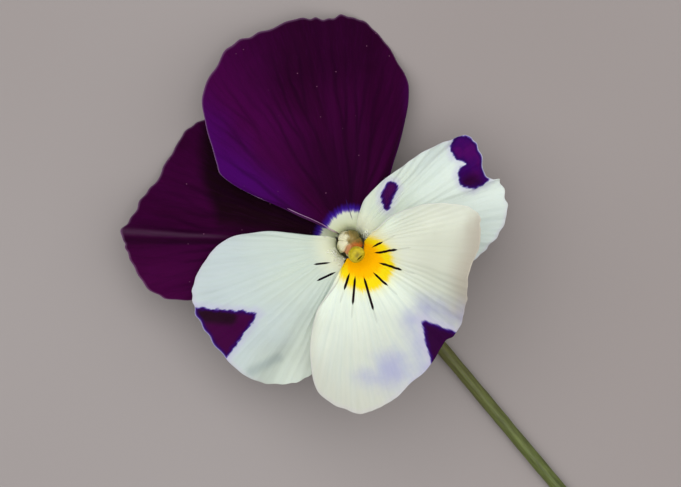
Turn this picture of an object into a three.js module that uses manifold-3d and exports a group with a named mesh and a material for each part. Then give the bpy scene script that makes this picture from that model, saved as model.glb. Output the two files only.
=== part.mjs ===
// A cut viola (horned pansy) lying face up, with its stem along the surface.
// Millimetres and degrees, +Z up. The stem runs along +X, the throat of the flower looks up along +Z,
// and the finished group has its origin under the middle of its bounding box, on the surface.
// Inside this file heights are measured from the throat, so the surface is at -faceHeight.
import * as THREE from 'three';
import { mergeVertices } from 'three/addons/utils/BufferGeometryUtils.js';
import Module from 'manifold-3d';

const wasm = await Module();
wasm.setup();

// ---- Driving dimensions: the flower as a whole ----
const faceHeight = 7.6;          // throat above the surface that the flower lies on
const petalThickness = 0.26;
const throatRadius = 1.5;        // where the petals' feet stand around the anthers
const throatDepth = 8.0;         // depth that the throat's funnel would reach on its own axis
const throatFlare = 1.25;        // distance over which the funnel opens out
const layerStep = 0.5;           // each petal starts this much under the one in front of it
const floorClearance = 0.06;     // rim of the petals that lean on the surface

// ---- The five petals: reach is the length from the throat to the rim ----
const upperRightReach = 20.8;
const upperLeftReach = 21.0;
const sideLeftReach = 15.5;
const sideRightReach = 15.0;
const lowerReach = 14.0;
const lowerRise = 8.6;           // the highest point of the lower petal's rim above the throat
const sideRise = 1.5;

// ---- Spur: the hollow sac behind the lower petal ----
const spurLength = 5.2;
const spurRadius = 0.95;
const spurTipRadius = 0.65;
const spurWall = 0.26;
const spurDip = 28;              // slope of the spur below the horizontal
const spurLip = 0.12;            // how far the spur's mouth reaches in past the petal's foot

// ---- Stem and receptacle ----
const stemLength = 58;           // along the surface, from under the throat to the cut
const stemRadius = 0.6;
const stemRidge = 0.05;          // depth of the four faint ridges, as a share of the radius
const crookRadius = 1.75;        // bend where the stem turns from the flower to the surface
const stemSides = 12;
const stemSteps = 48;
const receptacleRadius = 1.3;
const receptacleTop = 4.0;       // depth below the throat
const receptacleThickness = 1.0;
const receptacleTaper = 0.7;
const receptacleEdge = 0.2;      // the rounding of its upper edge

// ---- Sepals and bracteoles ----
const sepalLength = 8.6;
const sepalWidth = 2.1;
const sepalThickness = 0.3;
const sepalKeel = 0.18;
const sepalGap = 0.12;           // between a sepal's foot and the receptacle
const auricleLength = 1.15;      // the flap that each sepal has behind its foot
const bracteoleLength = 2.4;
const bracteoleWidth = 0.75;
const bracteoleThickness = 0.2;
const bracteoleGap = 0.12;
const bracteoleAt = [9.2, 10.6]; // places along the stem, left and right

// ---- Stamens and pistil ----
const antherRing = 0.88;         // distance of the anthers from the axis
const antherLength = 2.5;
const antherWidth = 1.0;
const antherDepth = 0.46;
const antherLean = 9;            // degrees towards the axis
const antherTipLength = 0.62;
const sacShare = 0.58;           // width of one pollen sac as a share of the anther's, so that they join
const filamentLength = 1.1;
const filamentOut = 0.12;        // how far outside the anther's middle the filament stands
const antherUp = 0.5;            // lower end of the anther above the filament's foot
const filamentRadius = 0.16;
const filamentGap = 0.1;
const hornRadius = 0.13;
const hornSpread = 0.22;         // distance of each nectar horn from the spur's axis
const hornAt = [0.6, 1.2, 1.9, 2.6];   // places along the spur that each horn runs through
const ovaryRadius = 0.5;
const ovaryLength = 1.9;
const styleRadius = 0.17;
const stigmaRadius = 0.8;
const stigmaHollow = 0.3;
const stigmaAt = [1.15, -0.25, 0.9];   // centre of the stigma's head, from the throat
const stigmaFacing = 41;         // tilt of the hollow from straight up, towards the lower petal

const DEGREE = Math.PI / 180;
const WELD = 1e-5;
const flower = new THREE.Group();

// A point by its direction around the throat, its distance from the throat's axis and its height.
function polar(angle, distance, height = 0) {
  return new THREE.Vector3(
    distance * Math.cos(angle * DEGREE), distance * Math.sin(angle * DEGREE), height);
}

// The same geometry as one closed surface: shared corners merged, collapsed triangles dropped.
function closed(geometry) {
  geometry.deleteAttribute('uv');
  geometry.deleteAttribute('normal');
  const merged = mergeVertices(geometry, WELD);
  const kept = [];
  for (let i = 0; i < merged.index.count; i += 3) {
    const corners = [0, 1, 2].map((k) => merged.index.getX(i + k));
    if (new Set(corners).size === 3) kept.push(...corners);
  }
  merged.setIndex(kept);
  return merged;
}

function toSolid(geometry) {
  const shape = closed(geometry);
  return new wasm.Manifold(new wasm.Mesh({
    numProp: 3,
    vertProperties: new Float32Array(shape.attributes.position.array),
    triVerts: new Uint32Array(shape.index.array),
  }));
}

function fromSolid(solid) {
  const { vertProperties, triVerts } = solid.getMesh();
  const geometry = new THREE.BufferGeometry();
  geometry.setAttribute('position', new THREE.BufferAttribute(vertProperties, 3));
  geometry.setIndex(new THREE.BufferAttribute(triVerts, 1));
  return geometry;
}

function joined(...geometries) {
  return fromSolid(geometries.map(toSolid).reduce((whole, next) => whole.add(next)));
}

function add(name, geometry, color) {
  geometry.computeVertexNormals();
  const material = new THREE.MeshStandardMaterial({ color, roughness: 0.6, metalness: 0 });
  const mesh = new THREE.Mesh(geometry, material);
  mesh.name = name;
  flower.add(mesh);
}

// A thin plate carried onto surface(s, t), with s across and t along it, both from 0 to 1.
// The plate's two faces stand half its thickness off the surface along its normal.
function plate(surface, across, along, thickness) {
  const box = closed(new THREE.BoxGeometry(1, 1, 1, across, along, 1));
  const place = box.attributes.position;
  const step = 1e-3;
  const at = (s, t) => surface(THREE.MathUtils.clamp(s, 0, 1), THREE.MathUtils.clamp(t, 0, 1));
  for (let i = 0; i < place.count; i++) {
    const s = place.getX(i) + 0.5;
    const t = place.getY(i) + 0.5;
    const side = place.getZ(i);
    const alongS = at(s + step, t).sub(at(s - step, t));
    const alongT = at(s, t + step).sub(at(s, t - step));
    const normal = alongS.cross(alongT).normalize();
    const point = at(s, t).addScaledVector(normal, side * thickness);
    place.setXYZ(i, point.x, point.y, point.z);
  }
  return box;
}

// A round or ridged rod carried along a curve.
function rod(points, radius, sides, steps, ridge = 0) {
  const section = new THREE.Shape(Array.from({ length: sides }, (_, i) => {
    const turn = (2 * Math.PI * i) / sides;
    const r = radius * (1 + ridge * Math.cos(4 * turn));
    return new THREE.Vector2(r * Math.cos(turn), r * Math.sin(turn));
  }));
  const extrudePath = new THREE.CatmullRomCurve3(points, false, 'centripetal');
  return new THREE.ExtrudeGeometry(section, { steps, bevelEnabled: false, extrudePath });
}

// A turned shape from its profile of [radius, height] pairs, standing along +Z.
function turned(profile, sides) {
  const points = profile.map(([radius, height]) => new THREE.Vector2(radius, height));
  return new THREE.LatheGeometry(points, sides).rotateX(Math.PI / 2);
}

// ---- Petals ----
// A petal is a fan of straight lines from its foot, a short arc around the throat, to its rim, a
// smooth curve through the outline's points. Each outline row is [degrees from the petal's midline,
// share of its reach, share of its rise]. Along the fan the height goes from the foot's layer to the
// rim's height as the share of the way to the power of the bend, the rim is ruffled in waves, and
// near the throat the petal dips into the funnel.
function funnel(distance) {
  return throatDepth * Math.exp(-distance / throatFlare);
}

function petalSurface(petal) {
  const rim = new THREE.CatmullRomCurve3(
    petal.outline.map(([turn, far, high]) =>
      polar(petal.turn + turn, far * petal.reach, high * petal.rise)),
    false, 'catmullrom', 0.5);
  return (s, t) => {
    const foot = polar(THREE.MathUtils.lerp(...petal.foot, s), throatRadius);
    const edge = rim.getPoint(s);
    const point = foot.clone().lerp(edge, t);
    const ruffle = petal.ruffle * Math.sin(2 * Math.PI * (petal.waves * s + petal.phase));
    const arch = petal.arch * Math.sin(Math.PI * t) * Math.hypot(edge.x, edge.y) / petal.reach;
    point.z = -petal.layer * layerStep * (1 - t) + edge.z * t ** petal.bend
      + ruffle * t ** 3 + arch
      - petal.dip * funnel(Math.hypot(point.x, point.y));
    return point;
  };
}

const fall = floorClearance - faceHeight;

const upperRight = {
  turn: 150, foot: [183, 117], reach: upperRightReach, rise: fall, layer: 2, dip: 1,
  bend: 2, arch: 0.5, ruffle: 0.25, waves: 2.5, phase: 0.1,
  outline: [
    [41, 0.13, 0.04], [49, 0.60, 0.10], [42, 0.75, 0.16], [30.5, 0.96, 0.33], [17.5, 1.06, 0.55],
    [8.5, 1.06, 0.67], [-1, 1.07, 0.76], [-7, 1.05, 0.83], [-13, 1.06, 0.90], [-20, 1.02, 0.98],
    [-28, 0.88, 0.95], [-37, 0.70, 0.76], [-44, 0.37, 0.32], [-44, 0.20, 0.14],
  ],
  grid: [30, 10],
};

const upperLeft = {
  turn: 216, foot: [186, 199], reach: upperLeftReach, rise: fall, layer: 3.3, dip: 1,
  bend: 2, arch: 0.2, ruffle: 0.2, waves: 2, phase: 0.35,
  outline: [
    [-41.5, 0.54, 0.55], [-40.5, 0.77, 0.84], [-31, 0.885, 0.97], [-21.5, 0.92, 0.97],
    [-10, 0.93, 0.84], [-0.5, 0.98, 0.64], [7.5, 1.03, 0.40], [12, 1.01, 0.34], [20, 0.96, 0.30],
    [26.5, 0.87, 0.29], [31, 0.68, 0.28], [30, 0.48, 0.22],
  ],
  grid: [26, 10],
};

const sideLeft = {
  turn: 262, foot: [204, 297], reach: sideLeftReach, rise: sideRise, layer: 1, dip: 1,
  bend: 1.5, arch: 0.35, ruffle: 0.2, waves: 2.5, phase: 0.6,
  outline: [
    [-54, 0.15, 0.1], [-50, 0.21, 0.1], [-45, 0.50, 0.2], [-39, 0.73, 0.1], [-30.5, 0.875, 0],
    [-21, 0.99, 0], [-12.5, 1.03, -0.1], [0, 1.03, -0.5], [15, 1.03, -0.8], [27, 0.97, -1],
    [36, 0.86, -1.1], [42, 0.73, -1], [44.5, 0.58, -0.8],
  ],
  grid: [26, 9],
};

const sideRight = {
  turn: 76, foot: [110, 66], reach: sideRightReach, rise: sideRise, layer: 0.85, dip: 1,
  bend: 1.5, arch: 0.3, ruffle: 0.2, waves: 2.5, phase: 0.2,
  outline: [
    [44.5, 0.21, -0.1], [36.5, 0.38, -0.4], [27, 0.57, -0.6], [19.5, 0.80, -0.7],
    [15.5, 0.94, -0.5], [12, 1.015, -0.5], [6, 1.01, -0.5], [-3.5, 0.96, -0.3], [-7, 1.03, -0.7],
    [-15.5, 1.025, -0.9], [-23, 0.98, -0.9], [-30.5, 0.88, -0.8], [-38.5, 0.77, -0.7],
    [-42.5, 0.58, -0.5],
  ],
  grid: [28, 9],
};

const lower = {
  turn: 0, foot: [60, -57], reach: lowerReach, rise: lowerRise, layer: 0, dip: 0.6,
  bend: 1.6, arch: 0.1, ruffle: 0.2, waves: 2, phase: 0.5,
  outline: [
    [78, 0.19, 0.12], [78.5, 0.37, 0.30], [74, 0.56, 0.56], [66, 0.77, 0.83], [58, 0.865, 0.97],
    [47, 0.85, 1.0], [34, 0.80, 0.93], [24, 0.845, 0.77], [16, 0.875, 0.60], [6.5, 0.92, 0.42],
    [-0.5, 0.91, 0.35], [-10, 0.965, 0.38], [-24.5, 1.045, 0.48], [-38, 1.13, 0.53],
    [-48, 1.09, 0.51], [-57, 0.99, 0.43], [-64.5, 0.76, 0.23], [-69.5, 0.54, 0.12],
    [-62, 0.26, 0.06],
  ],
  grid: [36, 10],
};

const purple = 0x3b0540;
const white = 0xdde6d8;
const blade = (petal) => plate(petalSurface(petal), ...petal.grid, petalThickness);
add('petal_upper_left', blade(upperLeft), purple);
add('petal_upper_right', blade(upperRight), purple);
add('petal_side_left', blade(sideLeft), white);
add('petal_side_right', blade(sideRight), white);

// The lower petal carries the spur, a hollow sac that opens into the throat. The middle of its
// upper wall runs through the middle of the petal's foot, and its mouth is cut off upright.
const spurAxis = new THREE.Vector3(Math.cos(spurDip * DEGREE), 0, -Math.sin(spurDip * DEGREE));
const spurMouth = new THREE.Vector3(throatRadius, 0, -lower.dip * funnel(throatRadius))
  .addScaledVector(new THREE.Vector3(-spurAxis.z, 0, spurAxis.x), spurWall / 2 - spurRadius);

function spur() {
  const inner = spurRadius - spurWall;
  const innerTip = spurTipRadius - spurWall;
  const round = [90, 60, 30, 0];
  const tip = (radius, angles) => angles.map((angle) => [
    radius * Math.cos(angle * DEGREE),
    -spurLength + spurTipRadius - radius * Math.sin(angle * DEGREE)]);
  const profile = [
    ...tip(spurTipRadius, round), [spurRadius, 0], [inner, 0],
    ...tip(innerTip, [...round].reverse()),
  ];
  profile[0][0] = 0;
  profile[profile.length - 1][0] = 0;
  const sac = turned(profile, 16)
    .rotateY(-(90 - spurDip) * DEGREE)
    .translate(...spurMouth.clone().addScaledVector(spurAxis, -spurRadius).toArray());
  const within = new THREE.BoxGeometry(4 * spurLength, 4 * spurLength, 4 * spurLength)
    .translate(throatRadius - spurLip + 2 * spurLength, 0, 0);
  return toSolid(sac).intersect(toSolid(within));
}

add('petal_lower', fromSolid(toSolid(blade(lower)).add(spur())), white);

// ---- Stem with the receptacle at its top ----
// The stem comes down out of the receptacle, turns in a short crook, and then lies on the surface,
// wandering a little to one side. Each row of the sway is [share of the length, sideways].
const stemLie = stemRadius - faceHeight;
const sway = [[0.12, -0.2], [0.26, -0.7], [0.5, -1.7], [0.75, -2.6], [1, -2.9]];

function stem() {
  const points = [new THREE.Vector3(0, 0, -receptacleTop - receptacleThickness)];
  for (const angle of [0, 30, 60, 90]) {
    points.push(new THREE.Vector3(
      crookRadius * (1 - Math.cos(angle * DEGREE)), 0,
      stemLie + crookRadius * (1 - Math.sin(angle * DEGREE))));
  }
  points.push(...sway.map(([share, side]) => new THREE.Vector3(share * stemLength, side, stemLie)));
  return rod(points, stemRadius, stemSides, stemSteps, stemRidge);
}

// How far to the side the lying stem is at a place along it.
function stemSide(place) {
  const [[near, from], [far, to]] = sway;
  return THREE.MathUtils.mapLinear(place, near * stemLength, far * stemLength, from, to);
}

function receptacle() {
  const base = receptacleTop + receptacleThickness;
  return turned([
    [0, -base - receptacleTaper], [stemRadius, -base - receptacleTaper],
    [receptacleRadius, -base], [receptacleRadius, -receptacleTop - receptacleEdge],
    [receptacleRadius - receptacleEdge, -receptacleTop], [0, -receptacleTop],
  ], 20);
}

add('stem', joined(stem(), receptacle()), 0x5a6a24);

// ---- Sepals: narrow blades under the petals, each with a short flap behind its foot ----
// The midline is a smooth curve; along it the width swells and narrows as a sine of the share of the
// way to the power 1.3, which is widest past the middle, and the section is a shallow V.
const bladeEnd = 0.12;           // share of the width that the blunt ends keep
const bladeSwell = 1.3;

function bladeSurface(midline, width, keel) {
  return (s, t) => {
    const point = midline.getPoint(t);
    const swell = Math.sin(Math.PI * (0.05 + 0.93 * t ** bladeSwell));
    const half = (width / 2) * (bladeEnd + (1 - bladeEnd) * swell);
    point.y += (2 * s - 1) * half;
    point.z -= keel * (1 - Math.abs(2 * s - 1));
    return point;
  };
}

const sepalFoot = receptacleRadius + sepalGap + sepalThickness / 2;
const sepalDepth = receptacleTop + 0.55 * receptacleThickness;

function sepal(angle, rise) {
  const midline = new THREE.CatmullRomCurve3([
    new THREE.Vector3(sepalFoot + 0.55 * auricleLength, 0, -sepalDepth - 0.8 * auricleLength),
    new THREE.Vector3(sepalFoot, 0, -sepalDepth),
    new THREE.Vector3(sepalFoot + 0.25 * sepalLength, 0, -sepalDepth + 0.45 * rise),
    new THREE.Vector3(sepalFoot + 0.6 * sepalLength, 0, -sepalDepth + rise),
    new THREE.Vector3(sepalFoot + sepalLength, 0, -sepalDepth + 0.9 * rise),
  ]);
  return plate(bladeSurface(midline, sepalWidth, sepalKeel), 4, 14, sepalThickness)
    .rotateZ(angle * DEGREE);
}

const sepals = [
  ['sepal_top', 180, 0.2], ['sepal_upper_left', 247, 0.8], ['sepal_upper_right', 113, 0.1],
  ['sepal_lower_left', 312, 1.2], ['sepal_lower_right', 48, 1.2],
];
for (const [name, angle, rise] of sepals) add(name, sepal(angle, rise), 0x5f7a34);

// ---- Stamens: two pollen sacs side by side, a thin tip above them, a short filament below ----
function bead(radial, sideways, tall, distance, side, height) {
  return new THREE.SphereGeometry(1, 12, 8)
    .rotateX(Math.PI / 2)
    .scale(radial / 2, sideways / 2, tall / 2)
    .translate(distance, side, height);
}

function stamen(angle, hornSide) {
  const sac = antherWidth * sacShare;
  const aside = (antherWidth - sac) / 2;
  const parts = [
    bead(antherDepth, sac, antherLength, 0, aside, 0),
    bead(antherDepth, sac, antherLength, 0, -aside, 0),
    bead(antherDepth / 2, 1.1 * sac, 2 * antherTipLength, 0, 0, 0.46 * antherLength),
  ];
  const foot = -receptacleTop + filamentGap;
  const middle = foot + antherUp + antherLength / 2;
  const whole = parts.map((part) => part
    .rotateY(-antherLean * DEGREE)
    .translate(antherRing, 0, middle));
  whole.push(new THREE.CylinderGeometry(filamentRadius, filamentRadius, filamentLength, 8)
    .rotateX(Math.PI / 2)
    .translate(antherRing + filamentOut, 0, foot + filamentLength / 2));
  whole.forEach((part) => part.rotateZ(angle * DEGREE));
  if (hornSide) {
    const mouth = spurMouth.clone().setY(hornSide * hornSpread);
    const within = hornAt.map((distance) => mouth.clone().addScaledVector(spurAxis, distance));
    whole.push(rod([polar(angle, antherRing, middle), ...within], hornRadius, 8, 12));
  }
  return joined(...whole);
}

const stamens = [
  ['stamen_top', 180, 0], ['stamen_upper_left', -108, 0], ['stamen_upper_right', 108, 0],
  ['stamen_lower_left', -36, -1], ['stamen_lower_right', 36, 1],
];
for (const [name, angle, hornSide] of stamens) add(name, stamen(angle, hornSide), 0xcfa24a);

// ---- Pistil: egg-shaped ovary, bent style, and a round stigma with a hollow in its face ----
function pistil() {
  const foot = -receptacleTop + filamentGap;
  const egg = bead(2 * ovaryRadius, 2 * ovaryRadius, ovaryLength, 0, 0, foot + ovaryLength / 2);
  const head = new THREE.Vector3(...stigmaAt);
  const style = rod([
    new THREE.Vector3(0, 0, foot + 0.8 * ovaryLength), new THREE.Vector3(0, 0, -0.75),
    new THREE.Vector3(0.12 * head.x, 0.12 * head.y, -0.15),
    new THREE.Vector3(0.45 * head.x, 0.45 * head.y, 0.35 * head.z), head,
  ], styleRadius, 8, 14);
  const ball = new THREE.SphereGeometry(stigmaRadius, 20, 14).translate(...stigmaAt);
  const facing = new THREE.Vector3(Math.sin(stigmaFacing * DEGREE), 0, Math.cos(stigmaFacing * DEGREE));
  const hollow = new THREE.SphereGeometry(stigmaHollow, 12, 10)
    .translate(...head.clone().addScaledVector(facing, stigmaRadius).toArray());
  const whole = [egg, style, ball].map(toSolid).reduce((sum, next) => sum.add(next));
  return fromSolid(whole.subtract(toSolid(hollow)));
}

add('pistil', pistil(), 0xb4a832);

// ---- Bracteoles: two small scales on the sides of the stem, pointing at the flower ----
function bracteole(place, side) {
  const out = stemRadius * (1 + stemRidge) + bracteoleGap + bracteoleThickness / 2;
  const midline = new THREE.CatmullRomCurve3([
    new THREE.Vector3(0, 0, 0), new THREE.Vector3(0.4 * bracteoleLength, 0, 0.05),
    new THREE.Vector3(bracteoleLength, 0, 0.5),
  ]);
  return plate(bladeSurface(midline, bracteoleWidth, 0), 3, 6, bracteoleThickness)
    .rotateX((side * Math.PI) / 2)
    .rotateZ(Math.PI)
    .translate(place, side * out + stemSide(place), stemLie);
}

add('bracteole_left', bracteole(bracteoleAt[0], -1), 0x6a7a3a);
add('bracteole_right', bracteole(bracteoleAt[1], 1), 0x6a7a3a);

// ---- Origin under the middle of the bounding box ----
flower.updateMatrixWorld(true);
const box = new THREE.Box3().setFromObject(flower, true);
const middle = box.getCenter(new THREE.Vector3());
flower.position.set(-middle.x, -middle.y, -box.min.z);

export default flower;
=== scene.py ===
# A cut viola (horned pansy): two velvet purple petals above, three white petals below, lying face up
# on a table with its stem along it. Shapes are worked out in millimetres from the middle of the
# throat and put into the meshes in metres.
from functools import reduce

import bpy
import numpy as np
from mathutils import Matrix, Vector


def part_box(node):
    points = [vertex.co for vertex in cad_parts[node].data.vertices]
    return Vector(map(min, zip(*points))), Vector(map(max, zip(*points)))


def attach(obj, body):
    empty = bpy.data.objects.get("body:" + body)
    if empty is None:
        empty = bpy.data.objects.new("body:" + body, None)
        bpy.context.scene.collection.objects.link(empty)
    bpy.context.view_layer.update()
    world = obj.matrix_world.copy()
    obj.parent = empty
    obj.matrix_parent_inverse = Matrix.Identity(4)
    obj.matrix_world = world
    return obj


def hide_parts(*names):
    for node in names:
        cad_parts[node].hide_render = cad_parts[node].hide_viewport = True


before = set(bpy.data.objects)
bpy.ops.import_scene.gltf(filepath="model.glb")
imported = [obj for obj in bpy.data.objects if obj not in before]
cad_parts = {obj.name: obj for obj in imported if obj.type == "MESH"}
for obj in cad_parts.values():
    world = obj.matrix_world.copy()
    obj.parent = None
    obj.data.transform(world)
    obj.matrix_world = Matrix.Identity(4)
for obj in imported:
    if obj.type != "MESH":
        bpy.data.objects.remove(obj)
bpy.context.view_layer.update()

# ------------------------------------------------------------------------------------------------
# Stem and receptacle
# The juicy green stalk, with four blunt ridges and a fresh cut across it, and the small green dome
# at its top that everything else grows from. It bends over in a crook and lies on the table.
# ------------------------------------------------------------------------------------------------
MM = 0.001
FACE_HEIGHT = 7.6                # throat above the table
STEM_RADIUS = 0.6
STEM_RIDGE = 0.05
STEM_END = 58.0
CROOK = 1.75                     # radius of the bend
DOME_TOP = -4.0
DOME_RADIUS = 1.3
STEM_SWAY = [[CROOK, 0], [6.96, -0.2], [15.08, -0.7], [29, -1.7], [43.5, -2.6], [STEM_END, -2.9]]
BRACTEOLES_AT = (9.2, 10.6)      # along the stem
OVARY_RADIUS = 0.5
STIGMA_RADIUS = 0.8
STIGMA_AT = np.array([1.15, -0.25, 0.9])

pistil_low, pistil_high = (np.array(corner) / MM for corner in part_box("pistil"))
throat = np.array([pistil_low[0] + OVARY_RADIUS,
                   pistil_low[1] + STIGMA_RADIUS - STIGMA_AT[1],
                   pistil_high[2] - STIGMA_RADIUS - STIGMA_AT[2]])


def smooth(points, share):
    """Smooth curve through points, at shares 0 to 1 of its spans. On each span it is the cubic whose
    slope at a point is half the step between that point's neighbours; past the ends, the first and
    the last step are repeated."""
    points = np.asarray(points, float)
    knots = np.vstack([2 * points[0] - points[1], points, 2 * points[-1] - points[-2]])
    place = np.clip(share, 0, 1) * (len(points) - 1)
    span = np.minimum(place.astype(int), len(points) - 2)
    u = (place - span)[..., None]
    before, start, end, after = (knots[span + step] for step in range(4))
    leave, arrive = (end - before) / 2, (after - start) / 2
    cubic = 2 * start - 2 * end + leave + arrive
    square = 3 * end - 3 * start - 2 * leave - arrive
    return ((cubic * u + square) * u + leave) * u + start


def rise(value, low, high):
    """0 below low, 1 above high, and 3u^2 - 2u^3 of the share between them; low may be the larger."""
    u = np.clip((value - low) / (high - low), 0, 1)
    return u * u * (3 - 2 * u)


def unit(vectors):
    """Vectors divided by their lengths."""
    return vectors / np.linalg.norm(vectors, axis=-1, keepdims=True)


def stacked(*numbers):
    """Arrays of any shapes that fit together, as the last axis of one array."""
    return np.stack(np.broadcast_arrays(*numbers), -1)


def full_turn(count):
    """Angles at equal steps once round, in radians."""
    return np.linspace(0, 2 * np.pi, count, endpoint=False)


def quads(index):
    """The four-cornered faces of a grid of vertex numbers."""
    corners = [index[:-1, :-1], index[:-1, 1:], index[1:, 1:], index[1:, :-1]]
    return np.stack(corners, -1).reshape(-1, 4)


def tube(rings, lay):
    """Closed skin of a tube from its rings, counted round its direction of travel. Quads join the
    rings, and each end is closed on its ring's middle. lay goes with the points."""
    rows, around = rings.shape[:2]
    index = np.arange(rows * around).reshape(rows, around)
    index = np.hstack([index, index[:, :1]])
    start, end = rows * around, rows * around + 1
    points = np.vstack([rings.reshape(-1, 3), rings[0].mean(0), rings[-1].mean(0)])
    lay = np.vstack([lay.reshape(-1, 3), lay[0].mean(0), lay[-1].mean(0)])
    first = np.stack([np.full(around, start), index[0, 1:], index[0, :-1]], -1)
    last = np.stack([np.full(around, end), index[-1, :-1], index[-1, 1:]], -1)
    return points, quads(index), np.vstack([first, last]), lay


def sweep(path, radius, around=16, beside=(0, 1, 0), ridge=0.0, part=0.0):
    """Tube along a path. A ring is the circle across the path of that place's radius, and a ridge
    makes it swell four times around. lay is (share of a turn, length from the start, part)."""
    ahead = unit(np.gradient(path, axis=0))
    side = unit(beside - (ahead @ np.array(beside))[:, None] * ahead)
    up = np.cross(ahead, side)
    turn = full_turn(around)
    far = np.asarray(radius)[:, None] * (1 + ridge * np.cos(4 * turn))
    rings = (path[:, None] + (far * np.cos(turn))[..., None] * side[:, None]
             + (far * np.sin(turn))[..., None] * up[:, None])
    length = np.append(0, np.cumsum(np.linalg.norm(np.diff(path, axis=0), axis=1)))
    return tube(rings, stacked(turn / (2 * np.pi), length[:, None], part))


def piece(name, shells, finish, slot, *nodes):
    """One object from closed shells in millimetres from the throat. Each shell's lay, three numbers
    per point, becomes the attribute that its material reads."""
    start, points, faces, lays = 0, [], [], []
    for shell_points, shell_quads, shell_triangles, lay in shells:
        points.append(shell_points)
        faces += (shell_quads + start).tolist() + (shell_triangles + start).tolist()
        lays.append(lay)
        start += len(shell_points)
    mesh = bpy.data.meshes.new(name)
    mesh.from_pydata(((np.vstack(points) + throat) * MM).tolist(), [], faces)
    mesh.attributes.new("lay", "FLOAT_VECTOR", "POINT").data.foreach_set(
        "vector", np.vstack(lays).ravel())
    mesh.shade_smooth()
    mesh.materials.append(finish)
    obj = bpy.data.objects.new(name, mesh)
    bpy.context.scene.collection.objects.link(obj)
    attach(obj, "root")
    if nodes:
        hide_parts(*nodes)
    return obj


class Signal:
    """A socket in a material. Arithmetic on it adds Math nodes of the operators' own names, and
    node() adds any other node."""

    def __init__(self, tree, socket=None):
        self.tree = tree
        self.socket = socket

    def node(self, kind, settings, inputs, output=0):
        """A new node: its settings, a ramp's stops among them, then its inputs, then its output."""
        made = self.tree.nodes.new(kind)
        for key, value in settings.items():
            setattr(made, key, value)
        for key, value in inputs.items():
            if isinstance(value, Signal):
                self.tree.links.new(value.socket, made.inputs[key])
            else:
                made.inputs[key].default_value = value
        return Signal(self.tree, made.outputs[output])

    def math(self, operation, *values):
        """A Math node on the values."""
        return self.node("ShaderNodeMath", {"operation": operation}, dict(enumerate(values)))

    def vector(self, operation, other):
        """A Vector Math node on this vector and the other."""
        return self.node("ShaderNodeVectorMath", {"operation": operation}, {0: self, 1: other})

    def __add__(self, other):
        return self.math("ADD", self, other)

    def __sub__(self, other):
        return self.math("SUBTRACT", self, other)

    def __rsub__(self, other):
        return self.math("SUBTRACT", other, self)

    def __mul__(self, other):
        return self.math("MULTIPLY", self, other)

    def __truediv__(self, other):
        return self.math("DIVIDE", self, other)

    def __pow__(self, other):
        return self.math("POWER", self, other)

    def __abs__(self):
        return self.math("ABSOLUTE", self)

    __radd__ = __add__
    __rmul__ = __mul__

    def least(self, other):
        """The smaller of the two."""
        return self.math("MINIMUM", self, other)

    def most(self, other):
        """The larger of the two."""
        return self.math("MAXIMUM", self, other)

    def rise(self, low, high):
        """Smooth step from 0 at low to 1 at high; low may be the larger."""
        return self.node("ShaderNodeMapRange", {"interpolation_type": "SMOOTHSTEP"},
                         {0: self, 1: low, 2: high})

    def parts(self):
        """The three numbers of a vector."""
        return [self.node("ShaderNodeSeparateXYZ", {}, {0: self}, axis) for axis in range(3)]

    def joined(self, y, z=0.0):
        """The vector of this number, y and z."""
        return self.node("ShaderNodeCombineXYZ", {}, {0: self, 1: y, 2: z})

    def noise(self, scale, detail=2.0, rough=0.5):
        """Cloudy noise about 0.5 at this vector, with a pitch of 1 / scale."""
        return self.node("ShaderNodeTexNoise", {},
                         {"Vector": self, "Scale": scale, "Detail": detail, "Roughness": rough})

    def blend(self, under, over):
        """The colour over, where this mask is 1, and under, where it is 0."""
        return self.node("ShaderNodeMix", {"data_type": "RGBA"}, {0: self, 6: under, 7: over}, 2)

    def bump(self, depth):
        """A normal from this height, where 1 stands for depth in millimetres."""
        return self.node("ShaderNodeBump", {}, {"Strength": 1.0, "Distance": depth * MM,
                                                "Height": self})

    def place(self):
        """Where the point is, in millimetres from the throat."""
        spot = self.node("ShaderNodeTexCoord", {}, {}, "Object")
        shift = spot.vector("SUBTRACT", tuple(throat * MM))
        return shift.vector("MULTIPLY", (1 / MM,) * 3)

    def lay(self):
        """The three numbers that the point's shell gave it."""
        return self.node("ShaderNodeAttribute", {"attribute_name": "lay"}, {}, "Vector")

    def finish(self, inputs):
        """Sets the sockets of the material's own shader."""
        shader = self.tree.nodes["Principled BSDF"]
        for key, value in inputs.items():
            if isinstance(value, Signal):
                self.tree.links.new(value.socket, shader.inputs[key])
            else:
                shader.inputs[key].default_value = value


def material(name):
    """A new material, and the signal that its nodes start from."""
    made = bpy.data.materials.new(name)
    made.use_nodes = True
    return made, Signal(made.node_tree)


def tone(red, green, blue):
    """A colour as mixed on screen, 0 to 255, as the linear colour that a shader takes."""
    share = np.array([red, green, blue]) / 255
    linear = np.where(share <= 0.04045, share / 12.92, ((share + 0.055) / 1.055) ** 2.4)
    return (*linear.tolist(), 1.0)


def painted(colour, *coats):
    """A colour with coats laid over it in turn. Each is a mask and the red, green and blue that
    show where the mask is 1."""
    for mask, over in coats:
        colour = mask.blend(colour, over if isinstance(over, Signal) else tone(*over))
    return colour


def flesh(weight, radius, scale):
    """Shader inputs for light that goes into plant tissue: how much of it, how far red, green and
    blue go, and the distance in millimetres that they are shares of."""
    return {"Subsurface Weight": weight, "Subsurface Radius": radius, "Subsurface Scale": scale * MM}


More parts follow.
